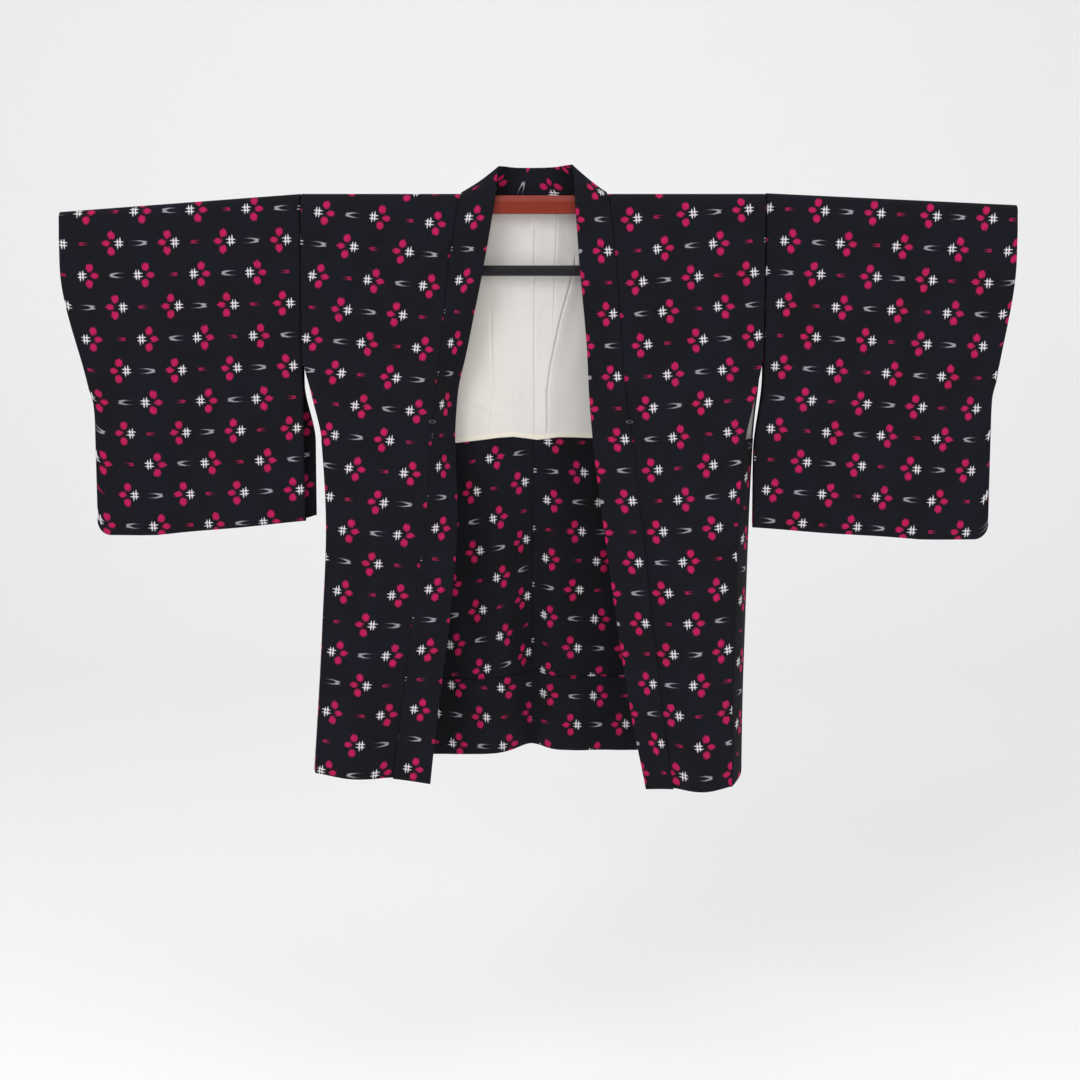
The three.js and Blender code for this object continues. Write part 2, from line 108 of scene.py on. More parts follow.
def halves(left: object, right: object) -> dict:
    """What belongs to each half of the haori."""
    return {Side.LEFT: left, Side.RIGHT: right}


def stack_last(*grids: Array) -> Array:
    """Grids of coordinates joined along a new last axis."""
    return np.stack(np.broadcast_arrays(*grids), axis=-1)


def hermite(t: Array, span: Array, ends: tuple[Array, Array], slopes: tuple[Array, Array]) -> Array:
    """The cubic over a span, at each share t of it, that keeps the values and slopes of its ends."""
    line = (2 * t**3 - 3 * t**2 + 1) * ends[0] + (3 * t**2 - 2 * t**3) * ends[1]
    return line + span * ((t**3 - 2 * t**2 + t) * slopes[0] + (t**3 - t**2) * slopes[1])


@dataclass(frozen=True)
class HangTable:
    """How a panel hangs: a row of named sizes for each height, joined by a curve that never overshoots."""

    columns: tuple[str, ...]
    rows: Rows

    def at(self, column: str, z: Array) -> Array:
        """One column at each height. Its slope at a row is the harmonic mean of the slopes on both
        sides, or nought where those differ in sign.

        Args:
            column: The name of the column.
            z: The heights.

        Returns:
            The column's value at each height.
        """
        table = np.array(self.rows)[::-1]
        level, value = table[:, 0], table[:, self.columns.index(column)]
        secant = np.diff(value) / np.diff(level)
        below, above = np.append(secant[0], secant), np.append(secant, secant[-1])
        agree = below * above > 0
        slope = np.where(agree, 2 * below * above / np.where(agree, below + above, 1.0), 0.0)
        z = np.clip(z, level[0], level[-1])
        i = np.clip(np.searchsorted(level, z) - 1, 0, len(level) - 2)
        span = level[i + 1] - level[i]
        return hermite((z - level[i]) / span, span, (value[i], value[i + 1]), (slope[i], slope[i + 1]))


FRONT_COLUMNS = ("z", "fold_x", "fold_y", "seam_x", "seam_y", "side_x", "side_y", "belly")
FRONTS = {
    Side.LEFT: HangTable(FRONT_COLUMNS, (
        (0, -56, -16, -103, -14, -310, -12, 0),
        (-90, -72, -17, -117, -17, -311, -13, 1),
        (-190, -93, -6, -127, -21, -311, -14, 2),
        (-250, -107, 6, -135, -24, -299, -15, 4),
        (-310, -111, 8, -140, -25, -286, -17, 6),
        (-420, -107, -8, -149, -24, -281, -19, 8),
        (-560, -118, -18, -168, -20, -287, -20, 11),
        (-680, -134, -21, -183, -15, -294, -19, 14),
        (-780, -145, -21, -196, -10, -301, -18, 17),
    )),
    Side.RIGHT: HangTable(FRONT_COLUMNS, (
        (0, 50, -16, 95, -14, 300, -12, 0),
        (-90, 57, -17, 105, -17, 300, -13, 1),
        (-190, 66, -18, 112, -22, 300, -12, 2),
        (-250, 69, -19, 117, -25, 290, -14, 4),
        (-310, 74, -20, 126, -27, 277, -18, 6),
        (-420, 88, -20, 139, -28, 268, -22, 8),
        (-560, 108, -19, 154, -30, 264, -28, 11),
        (-680, 127, -18, 169, -31, 261, -36, 16),
        (-785, 148, -18, 184, -30, 261, -45, 21),
    )),
}
BACK_COLUMNS = ("z", "side_x", "side_y", "back_y")
BACKS = {
    Side.LEFT: HangTable(BACK_COLUMNS, (
        (0, -310, 12, 15),
        (-190, -311, 12, 24),
        (-310, -287, 8, 31),
        (-420, -281, 16, 37),
        (-560, -286, 25, 44),
        (-757, -297, 39, 47),
    )),
    Side.RIGHT: HangTable(BACK_COLUMNS, (
        (0, 300, 12, 15),
        (-190, 300, 10, 26),
        (-310, 290, 8, 36),
        (-420, 286, 9, 45),
        (-560, 283, 10, 56),
        (-757, 279, 11, 66),
    )),
}
VALLEY_X = -8.0
VALLEY_TOP = -330.0
VALLEY_DEPTH = 42.0
VALLEY_HALF_WIDTH = 26.0
CENTRE_X = -4.0
SEAM_RELIEF = 0.9
SEAM_HALF_WIDTH = 1.6
FRONT_HEM_RISE = 5.0
FRONT_HEMS = halves((-778.0, -764.0), (-786.0, -774.0))

# ---- Surfaces ----


@dataclass(frozen=True)
class Repeat:
    """How the woven repeat lies on a width that hangs a little on the bias: the turn of its warp and
    of its weft in degrees, and its shift across and along in millimetres."""

    warp: float = 0.0
    weft: float = 0.0
    across: float = 0.0
    along: float = 0.0

    def lay(self, u: Array, v: Array) -> Array:
        """Each point's two places in the repeat. u grows with +X across the width, v runs along it."""
        warp, weft = math.radians(self.warp), math.radians(self.weft)
        return stack_last(u * math.cos(warp) + v * math.sin(warp) + self.across,
                          v * math.cos(weft) - u * math.sin(weft) + self.along)


@dataclass
class Crease:
    """One soft fold laid on a surface: a trough, or a ridge where the depth is negative."""

    across: float
    along: float
    turn: float
    length: float
    width: float
    depth: float
    bend: ClassVar[float] = 0.08

    def height(self, u: Array, v: Array) -> Array:
        """The fold's height at each point: a bell across it and a rounded fall along it. Its line
        bends to both sides by a share of its length.

        Args:
            u: The place across the cloth.
            v: The place along the cloth.

        Returns:
            The height to add along the surface's normal.
        """
        angle = math.radians(self.turn)
        run = (u - self.across) * math.cos(angle) + (v - self.along) * math.sin(angle)
        off = (v - self.along) * math.cos(angle) - (u - self.across) * math.sin(angle)
        wave = self.bend * self.length * np.sin(3.0 * run / self.length)
        return -self.depth * np.exp(-((off - wave) / self.width) ** 2) * np.exp(-(run / self.length) ** 4)


@dataclass(frozen=True)
class Groove:
    """A pressed fold in thin silk: the cloth stands up on both sides of a line and dips along it."""

    route: Rows
    lift: float
    spread: float
    width: float
    end: float = 18.0
    dip: ClassVar[float] = 0.95

    def height(self, x: Array, z: Array) -> Array:
        """The fold's height at each point: a bell over the line with a narrow bell taken out of it.

        Args:
            x: The place across.
            z: The height.

        Returns:
            The lift towards the front.
        """
        across, level = np.array(self.route, dtype=float)[::-1].T
        off = x - np.interp(z, level, across)
        bell = np.exp(-((off / self.spread) ** 2)) * (1.0 - self.dip * np.exp(-((off / self.width) ** 2)))
        inside = smooth(z, level[0] - self.end, level[0]) * smooth(-z, -level[-1] - self.end, -level[-1])
        return self.lift * bell * inside


BACK_FOLDS = (
    Crease(-205, -420, 88, 240, 15, -3.0),
    Crease(-120, -560, 93, 200, 17, 3.4),
    Crease(-245, -230, 112, 110, 10, -2.0),
    Crease(-62, -640, 98, 130, 14, -3.0),
    Crease(110, -520, 86, 230, 16, -3.2),
    Crease(190, -600, 92, 180, 15, 3.0),
    Crease(235, -300, 84, 200, 14, 2.4),
    Crease(60, -690, 80, 110, 12, 2.6),
)
RIPPLE_LENGTHS = np.geomspace(38.0, 170.0, 6)
RIPPLE_LENGTHS_TOGETHER = 500.0


def grid_normals(points: Array) -> Array:
    """The unit normal of a grid of points: the cross product of its two directions at each point."""
    down, across = np.gradient(points, axis=(0, 1))
    normal = np.cross(across, down)
    return normal / np.maximum(np.linalg.norm(normal, axis=-1, keepdims=True), 1e-9)


def running_length(points: Array, axis: int) -> Array:
    """The distance run along one way of a grid, summed from its first line."""
    steps = np.linalg.norm(np.diff(points, axis=axis), axis=-1)
    return np.concatenate([np.zeros_like(np.take(steps, [0], axis)), np.cumsum(steps, axis=axis)], axis=axis)


def ripple(u: Array, v: Array, size: float, seed: int) -> Array:
    """The small unevenness of hung cloth: six sine waves that run mostly down it.

    Args:
        u: The place across the cloth.
        v: The place along the cloth.
        size: The height of the waves together.
        seed: Picks the waves' directions and starts.

    Returns:
        The height at each point.
    """
    draw = np.random.default_rng(seed)
    total = np.zeros(np.broadcast(u, v).shape)
    for wavelength in RIPPLE_LENGTHS:
        lean, start = draw.uniform(-0.5, 0.5), draw.uniform(0.0, 2.0 * math.pi)
        total = total + wavelength * np.sin(2.0 * math.pi * (u + lean * v) / wavelength + start)
    return size * total / RIPPLE_LENGTHS_TOGETHER


@dataclass
class Cloth:
    """A grid of cloth: its points and its place on the flat cloth, both in millimetres."""

    points: Array
    flat: Array
    keep: Array | None = None
    closed: bool = False

    def moved(self, height: Array | float) -> Cloth:
        """The same cloth, moved along its normals by a height at each point."""
        shift = grid_normals(self.points) * np.expand_dims(np.broadcast_to(height, self.points.shape[:2]), -1)
        return Cloth(self.points + shift, self.flat, self.keep, self.closed)

    def face_out(self, side: Side) -> Cloth:
        """The same cloth with its face out: the right half's grid runs the other way."""
        if side is Side.LEFT:
            return self
        keep = None if self.keep is None else self.keep[:, ::-1]
        return Cloth(self.points[:, ::-1], self.flat[:, ::-1], keep, self.closed)

    def quads(self) -> Array:
        """Each cell of the grid as four point numbers, without the cells that are cut away."""
        rows, columns = self.points.shape[:2]
        index = np.arange(rows * columns).reshape(rows, columns)
        if self.closed:
            index = np.vstack([index, index[:1]])
        cells = np.stack([index[:-1, :-1], index[:-1, 1:], index[1:, 1:], index[1:, :-1]], axis=-1)
        return cells.reshape(-1, 4) if self.keep is None else cells[self.keep]

    def corner_flat(self) -> Array:
        """The flat place of each corner of each cell. On a closed loop the last cells run on past the
        join instead of back to the first row."""
        flat = self.flat
        if self.closed:
            flat = np.concatenate([flat, 2.0 * flat[-1:] - flat[-2:-1]])
        cells = np.stack([flat[:-1, :-1], flat[:-1, 1:], flat[1:, 1:], flat[1:, :-1]], axis=2)
        return cells.reshape(-1, 2) if self.keep is None else cells[self.keep].reshape(-1, 2)


# ---- Finishes ----


def linear(hex_colour: str) -> tuple[float, float, float, float]:
    """An sRGB hex colour as linear red, green, blue and alpha."""
    parts = [int(hex_colour[i:i + 2], 16) / 255 for i in (1, 3, 5)]
    red, green, blue = (c / 12.92 if c <= 0.04045 else ((c + 0.055) / 1.055) ** 2.4 for c in parts)
    return red, green, blue, 1.0


def add_node(tree: Tree, kind: str, settings: dict | None = None,
             links: dict | None = None) -> bpy.types.Node:
    """Adds one node with its settings and links.

    Args:
        tree: The node tree.
        kind: The node's type, without ShaderNode before it.
        settings: Names of the node's own properties and their values.
        links: Input names or numbers, each with a value or an output socket to link from.

    Returns:
        The new node.
    """
    node = tree.nodes.new(f"ShaderNode{kind}")
    for name, value in (settings or {}).items():
        setattr(node, name, value)
    for name, value in (links or {}).items():
        if isinstance(value, Socket):
            tree.links.new(value, node.inputs[name])
        else:
            node.inputs[name].default_value = value
    return node


@dataclass
class Signal:
    """A number that varies over a surface. Its arithmetic is laid down as math nodes: wrap is what is
    left above the last whole length, and size is the number without its sign."""

    tree: Tree
    source: Socket | float

    def _apply(self, operation: str, *others: Signal | float) -> Signal:
        """One math node on this number and the others."""
        values = [self.source] + [o.source if isinstance(o, Signal) else float(o) for o in others]
        node = add_node(self.tree, "Math", {"operation": operation}, dict(enumerate(values)))
        return Signal(self.tree, node.outputs[0])

    __add__ = partialmethod(_apply, "ADD")
    __sub__ = partialmethod(_apply, "SUBTRACT")
    __mul__ = partialmethod(_apply, "MULTIPLY")
    over = partialmethod(_apply, "DIVIDE")
    power = partialmethod(_apply, "POWER")
    size = partialmethod(_apply, "ABSOLUTE")
    floor = partialmethod(_apply, "FLOOR")
    wrap = partialmethod(_apply, "FLOORED_MODULO")
    larger = partialmethod(_apply, "MAXIMUM")
    sine = partialmethod(_apply, "SINE")

    def rest(self) -> Signal:
        """One less this number."""
        return self * -1.0 + 1.0

    def fade(self, full: float, none: float) -> Signal:
        """1 up to one value of this number and 0 from the other, with a soft step between."""
        node = add_node(self.tree, "MapRange", {"interpolation_type": "SMOOTHSTEP"}, {
            "Value": self.source, "From Min": full, "From Max": none, "To Min": 1.0, "To Max": 0.0})
        return Signal(self.tree, node.outputs[0])


@dataclass
class Finish:
    """A material in the making: a principled shader, its output and the tree they stand in."""

    name: str
    tree: Tree = field(init=False)
    shader: bpy.types.Node = field(init=False)
    material: Material = field(init=False)

    def __post_init__(self) -> None:
        """Makes the empty material."""
        self.material = bpy.data.materials.new(self.name)
        self.material.use_nodes = True
        self.tree = self.material.node_tree
        self.shader = self.tree.nodes["Principled BSDF"]

    def set(self, **values: object) -> None:
        """Sets the shader's own sockets, each named with underscores for spaces."""
        for name, value in values.items():
            self.shader.inputs[name.replace("_", " ")].default_value = value

    def link(self, socket: Socket, name: str) -> None:
        """Feeds one of the shader's sockets."""
        self.tree.links.new(socket, self.shader.inputs[name])

    def cloth_place(self) -> tuple[Signal, Signal]:
        """The place across and along the cloth in millimetres, from the piece's own UV map."""
        place = add_node(self.tree, "UVMap", {"uv_map": "cloth"})
        parts = add_node(self.tree, "SeparateXYZ", None, {0: place.outputs[0]})
        return Signal(self.tree, parts.outputs[0]) * 1000.0, Signal(self.tree, parts.outputs[1]) * 1000.0

    def dice(self, first: Signal, second: Signal) -> Signal:
        """A number from 0 to 1 that is the same wherever both whole numbers are the same."""
        place = add_node(self.tree, "CombineXYZ", None, {0: first.source, 1: second.source})
        noise = add_node(self.tree, "TexWhiteNoise", {"noise_dimensions": "2D"}, {
            "Vector": place.outputs[0]})
        return Signal(self.tree, noise.outputs["Value"])

    def noise(self, u: Signal, v: Signal, grain: float, detail: float = 2.0) -> Signal:
        """Soft noise over the cloth, with grains of a size in millimetres."""
        place = add_node(self.tree, "CombineXYZ", None, {0: u.source, 1: v.source})
        noise = add_node(self.tree, "TexNoise", None, {
            "Vector": place.outputs[0], "Scale": 1.0 / grain, "Detail": detail})
        return Signal(self.tree, noise.outputs[0])

    def blend(self, first: object, second: object, share: Signal) -> Socket:
        """One colour turned into another by a share from 0 to 1."""
        inputs = {0: share.source, 6: first, 7: second}
        return add_node(self.tree, "Mix", {"data_type": "RGBA"}, inputs).outputs[2]

    def ridged(self, height: Signal, low: str, high: str, depth_mm: float, strength: float) -> None:
        """Colours a relief from its low places to its high ones, and gives it a real depth."""
        self.link(self.blend(linear(low), linear(high), height), "Base Color")
        self.bump(height, depth_mm, strength)

    def bump(self, height: Signal, depth_mm: float, strength: float) -> None:
        """Gives the shader a relief of a real depth."""
        node = add_node(self.tree, "Bump", None, {
            "Height": height.source, "Distance": depth_mm * MM, "Strength": strength})
        self.link(node.outputs[0], "Normal")


@dataclass(frozen=True)
class Petal:
    """One petal of a group, in millimetres: its centre from the curb's, its half sizes and the power
    that shapes it, where 2 is an ellipse and less is more pointed."""

    x: float
    y: float
    half_x: float
    half_y: float
    power: float = 2.0


@dataclass(frozen=True)
class Arrow:
    """One swallow-tail arrow, in millimetres: its nose from the curb's centre, which way its tails
    run, its length and its half height."""

    nose: float
    way: float
    length: float
    half: float


@dataclass(frozen=True)
class KasuriWool:
    """Kasuri wool: yarns resist-dyed before they are woven, so each figure's edge is feathered.

    The ground is black with a little navy, matt, with a soft nap. On it stand groups of a white
    well-curb, two strokes crossed by two, with three magenta petals beside it, and between them an
    arrow, grey and long or magenta and short. Every second row is turned half round.
    """

    group_pitch: float = 73.5
    row_pitch: float = 41.5
    row_shift: float = 51.5
    group_start: float = 12.0
    thread: float = 0.9
    warp_slip: float = 2.2
    weft_slip: float = 2.4
    streak_threads: float = 9.0
    curb_reach: float = 6.9
    curb_offset: float = 1.8
    curb_shift: float = 0.6
    bar_reach: float = 6.2
    bar_offset: float = 2.1
    bar_strength: float = 0.92
    tall_petals: tuple[Petal, ...] = (Petal(10.8, 10.4, 4.6, 5.0), Petal(9.6, -10.6, 4.6, 5.0))
    side_petal: Petal = Petal(16.8, -0.3, 5.0, 3.8, 1.6)
    grey_arrow: Arrow = Arrow(36.5, 1.0, 22.0, 2.9)
    magenta_arrow: Arrow = Arrow(52.5, -1.0, 14.0, 1.5)
    ground: str = "#161519"
    navy: str = "#16171f"
    magenta: str = "#bd1c58"
    pale: str = "#e4dfe3"
    grey: str = "#a29fa8"

    def petal(self, x: Signal, y: Signal, shape: Petal) -> Signal:
        """A petal: inside where |x/a|^n + |y/b|^n is under 1, with a soft edge."""
        across = (x - shape.x).size().over(shape.half_x).power(shape.power)
        along = (y - shape.y).size().over(shape.half_y).power(shape.power)
        return (across + along).fade(0.45, 1.5)

    def strokes(self, run: Signal, off: Signal, reach: float, offset: float, shift: float = 0.0) -> Signal:
        """Two strokes side by side that taper to both ends.

        Args:
            run: The place along the strokes.
            off: The place across them.
            reach: Half their length.
            offset: How far each lies from the middle.
            shift: How far each is moved along, one each way.

        Returns:
            1 on a stroke, whose soft edge stands 0.8 - 0.9 (run/reach)^4 from its line, and 0 off it.
        """
        pair = []
        for sign in (-1.0, 1.0):
            taper = (run - sign * shift).size().over(reach).power(4.0)
            pair.append(((off - sign * offset).size() + taper * 0.9).fade(0.35, 1.25))
        return reduce(Signal.larger, pair)

    def arrow(self, x: Signal, y: Signal, shape: Arrow) -> Signal:
        """An arrow's two tails, thick where they meet at the nose, that thin out and fade.

        Args:
            x: The place across the group.
            y: The place along the cloth, from the middle of the row.
            shape: The arrow's sizes.

        Returns:
            1 on the arrow, whose tails stand at |y| = half (1 - (1 - t/0.5)^1.3) with a half width of
            2 (1 - t)^2.4 + 0.1, where t runs from 0 at the nose to 1 at the tips, and 0 off it.
        """
        t = ((x - shape.nose) * shape.way).over(shape.length)
        rise = t.over(0.5).rest().larger(0.0).power(1.3) * -shape.half + shape.half
        width = t.rest().larger(0.0).power(2.4) * 2.0 + 0.1
        band = ((y.size() - rise).size() - width).fade(-0.6, 0.6)
        return band * t.fade(0.3, 1.05) * t.fade(-0.02, 0.08).rest()

    def make(self) -> Material:
        """Builds the material. Figures dyed in the warp slip along it thread by thread, and those dyed
        in the weft slip across.

        Returns:
            The finished kasuri wool.
        """
        finish = Finish("kasuri_wool")
        u, v = finish.cloth_place()
        warp, weft = u.over(self.thread).floor(), v.over(self.thread).floor()
        row = v.over(self.row_pitch).floor()
        odd = row.wrap(2.0)
        turn = odd * -2.0 + 1.0
        slip_v = (finish.dice(warp, row) - 0.5) * self.warp_slip
        slip_u = (finish.dice(weft, row) - 0.5) * self.weft_slip
        turned_x = (u - odd * self.row_shift) * turn + self.group_start
        group = turned_x.over(self.group_pitch).floor()
        x = turned_x - group * self.group_pitch - self.group_start
        y = ((row + 0.5) * self.row_pitch - v) * turn
        x_weft, y_warp = x + slip_u, y + slip_v
        other = (group + row.over(2.0).floor()).wrap(2.0)

        tall = [self.petal(x, y_warp, petal) for petal in self.tall_petals]
        petals = reduce(Signal.larger, tall).larger(self.petal(x_weft, y, self.side_petal))
        curb = self.strokes(y_warp, x, self.curb_reach, self.curb_offset, self.curb_shift)
        bars = self.strokes(x_weft, y, self.bar_reach, self.bar_offset)
        curb = curb.larger(bars * self.bar_strength)
        long_arrow = self.arrow(x_weft, y, self.grey_arrow) * other
        short_arrow = self.arrow(x_weft, y, self.magenta_arrow) * other.rest()

        cloud = finish.noise(u, v, 60.0)
        streak = finish.dice(warp, weft.over(self.streak_threads).floor())
        fleck = finish.dice(warp, weft)
        colour = finish.blend(linear(self.ground), linear(self.navy), cloud.fade(0.6, 0.4))
        for dye, share in ((self.magenta, petals * (streak * 0.22 + 0.76)),
                           (self.magenta, short_arrow * (streak * 0.3 + 0.42)),
                           (self.grey, long_arrow * (fleck * 0.25 + 0.72)),
                           (self.pale, curb * (fleck * 0.16 + 0.84))):
            colour = finish.blend(colour, linear(dye), share)
        finish.link(colour, "Base Color")
        finish.set(Roughness=0.88, Specular_IOR_Level=0.07, Sheen_Weight=0.02, Sheen_Roughness=0.6)
        wave = 2 * math.pi / self.thread
        ribs = (u * wave).sine() * (v * wave).sine()
        finish.bump(ribs * 0.5 + finish.noise(u, v, 4.0, 4.0) * 1.2 + fleck * 0.35, 0.16, 0.55)
        return finish.material


@dataclass(frozen=True)
class LiningSilk:
    """Ivory lining silk: fine plain weave, faintly lustrous, with yarns a little uneven."""

    colour: str = "#e4e2df"
    shade: str = "#d6d2cd"
    cream: str = "#e6dfd0"

    def make(self) -> Material:
        """Builds the material.

        Returns:
            The finished lining.
        """
        finish = Finish("lining_silk")
        u, v = finish.cloth_place()
        yarn = finish.noise(u.over(14.0), v, 0.9, 3.0)
        cloud = finish.noise(u, v, 45.0)
        share = yarn * 0.5 + cloud * 0.6
        cool = finish.blend(linear(self.colour), linear(self.shade), share)
        warm = finish.blend(cool, linear(self.cream), u.fade(-8.0, -70.0) * -0.35 + 0.35)
        border = v.fade(LINING_HEM + 6.0, LINING_HEM + 7.0)
        finish.link(finish.blend(warm, linear(self.cream), border), "Base Color")
        finish.set(Roughness=0.62, Specular_IOR_Level=0.35, Sheen_Weight=0.12, Sheen_Roughness=0.4)
        finish.bump(finish.noise(u.over(6.0), v, 0.7, 2.0) + finish.noise(u, v, 9.0, 3.0) * 1.4, 0.2, 0.5)
        return finish.material


@dataclass(frozen=True)
class Coating:
    """A smooth coated surface: lacquer on wood, or enamel on a steel rod, seen as a soft gloss."""

    name: str
    colour: str
    worn: str
    roughness: float
    gloss: float
    grain: float = 16.0

    def make(self) -> Material:
        """Builds the material.

        Returns:
            The finished coating.
        """
        finish = Finish(self.name)
        place = add_node(finish.tree, "TexCoord")
        stretch = add_node(finish.tree, "Mapping", None, {
            "Vector": place.outputs["Object"], "Scale": (0.12, 1.0, 1.0)})
        cloud = add_node(finish.tree, "TexNoise", None, {
            "Vector": stretch.outputs[0], "Scale": 1000.0 / self.grain, "Detail": 4.0})
        finish.set(Roughness=self.roughness, Specular_IOR_Level=self.gloss)
        finish.ridged(Signal(finish.tree, cloud.outputs[0]), self.colour, self.worn, 0.12, 0.25)
        return finish.material


@dataclass(frozen=True)
class TwistedCord:
    """Twisted cotton thread: matt, with the slant of its plies. It is darkened with painted shade in the
    grooves between the plies and lightened with a painted highlight on their crowns.
    """

    # The grey is the cord's tone brightened into a painted highlight on the ply crowns; the dark tone below
    # it is painted shade between the plies.
    colour: str = "#66636c"
    painted_groove_shade: str = "#37353b"

    def make(self) -> Material:
        """Builds the material.

        Returns:
            The finished cord.
        """
        finish = Finish("twisted_cord")
        place = add_node(finish.tree, "TexCoord")
        plies = add_node(finish.tree, "TexWave", {"bands_direction": "DIAGONAL"}, {
            "Vector": place.outputs["Object"], "Scale": 260.0, "Distortion": 1.0})
        finish.set(Roughness=0.85)
        # Painted shade and highlight: the grooves between the plies take the dark tone and the crowns take
        # the grey.
        finish.ridged(Signal(finish.tree, plies.outputs["Fac"]), self.painted_groove_shade, self.colour, 0.2, 0.6)
        return finish.material


@dataclass
class Wardrobe:
    """The finishes, made once and handed to every piece."""

    kasuri: Material = field(default_factory=lambda: KasuriWool().make())
    lining: Material = field(default_factory=lambda: LiningSilk().make())
    cord: Material = field(default_factory=lambda: TwistedCord().make())
    lacquer: Material = field(default_factory=lambda: Coating(
        "red_lacquered_wood", "#862b18", "#762212", 0.38, 0.28).make())
    enamel: Material = field(default_factory=lambda: Coating(
        "black_enamelled_rod", "#1a181b", "#201e22", 0.4, 0.16).make())


# ---- Pieces ----


def stand(name: str, data: bpy.types.ID) -> Thing:
    """A new object in the scene, at the origin, that shows some data."""
    thing = bpy.data.objects.new(name, data)
    bpy.context.scene.collection.objects.link(thing)
    return thing


def new_mesh(name: str, points: Array, faces: list, material: Material) -> bpy.types.Mesh:
    """A mesh of points in metres and of faces as point numbers, with one material."""
    mesh = bpy.data.meshes.new(name)
    mesh.from_pydata(points.reshape(-1, 3).tolist(), [], faces)
    mesh.materials.append(material)
    return mesh


def dress_node(name: str, material: Material) -> None:
    """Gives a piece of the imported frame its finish."""
    materials = bpy.data.objects[name].data.materials
    materials.clear()
    materials.append(material)


def sew(name: str, cloth: Cloth, material: Material, wall: float = CLOTH_WALL) -> Thing:
    """Makes a width of cloth with a real thickness.

    Args:
        name: The piece's name.
        cloth: Its grid of points.
        material: Its finish.
        wall: Its thickness in millimetres.

    Returns:
        The piece.
    """
    quads = cloth.quads()
    mesh = new_mesh(name, cloth.points * MM, quads.tolist(), material)
    layer = mesh.uv_layers.new(name="cloth")
    layer.data.foreach_set("uv", (cloth.corner_flat() * MM).ravel())
    mesh.polygons.foreach_set("use_smooth", np.ones(len(quads), dtype=bool))
    thing = stand(name, mesh)
    solid = thing.modifiers.new("wall", "SOLIDIFY")
    solid.thickness = wall * MM
    solid.offset = 0.0
    solid.use_even_offset = False
    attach(thing, "root")
    LOG.info("%s: %d cells", name, len(quads))
    return thing


def front_cloth(side: Side, across: Array, down: Array) -> Array:
    """A front panel: straight from collar seam to side at each height, with a belly of
    sin(pi * across)^1.4 that swings forward.

    Args:
        side: The half of the haori.
        across: From 0 at the collar seam to 1 at the side.
        down: From 0 at the shoulder to 1 at the hem.

    Returns:
        The points.
    """
    table = FRONTS[side]
    fold_hem, side_hem = FRONT_HEMS[side]
    z = mix(0.0, mix(fold_hem + FRONT_HEM_RISE, side_hem, across), down)
    x = mix(table.at("seam_x", z) - side.value * SEAM_LAP, table.at("side_x", z), across)
    line = mix(table.at("seam_y", z), table.at("side_y", z), across)
    belly = table.at("belly", z) * np.sin(math.pi * np.clip(across, 0.0, 1.0)) ** 1.4
    return stack_last(x, line - belly, z)


def back_cloth(side: Side, across: Array, down: Array) -> Array:
    """A back panel, which turns in at the side and sinks into a valley at the centre seam: depth *
    fall^0.8 * exp(-((x - centre) / half width)^2).

    Args:
        side: The half of the haori.
        across: From 0 at the centre seam to 1 at the side.
        down: From 0 at the neck to 1 at the hem.

    Returns:
        The points.
    """
    table = BACKS[side]
    z = mix(0.0, BACK_HEM, down)
    centre = side.value * CENTRE_GAP / 2 + centre_line(z)
    x = mix(centre, table.at("side_x", z), across)
    turn = smooth(across, 0.55, 1.0) ** 2
    fall = np.clip((VALLEY_TOP - z) / (VALLEY_TOP - BACK_HEM), 0.0, 1.0)
    valley = VALLEY_DEPTH * fall**0.8 * np.exp(-(((x - VALLEY_X) / VALLEY_HALF_WIDTH) ** 2))
    shared = (BACKS[Side.LEFT].at("back_y", z) + BACKS[Side.RIGHT].at("back_y", z)) / 2
    depth = mix(shared, table.at("back_y", z), smooth(across, 0.0, 0.25))
    y = mix(depth, table.at("side_y", z), turn) + valley + back_relief(x, z)
    return stack_last(x, y, z)


def centre_line(z: Array) -> Array:
    """Where the back's centre seam hangs: a little off below the neck, and in the valley further down."""
    return CENTRE_X * smooth(-z, 0.0, 60.0) + (VALLEY_X - CENTRE_X) * smooth(-z, 300.0, 700.0)


def back_relief(x: Array, z: Array) -> Array:
    """The back's folds and unevenness, shared by the width, its lining and its inner hem. They fade
    out at the shoulder and the sides.

    Args:
        x: The place across the back.
        z: The height.

    Returns:
        The shift away from the front.
    """
    calm = smooth(-z, 20.0, 150.0) * smooth(290.0 - np.abs(x), 0.0, 50.0)
    total = ripple(x, z, 1.1, 11)
    for fold in BACK_FOLDS:
        total = total + fold.height(x, z)
    seam = SEAM_RELIEF * np.exp(-((x - centre_line(z)) / SEAM_HALF_WIDTH) ** 2)
    return total * calm + seam


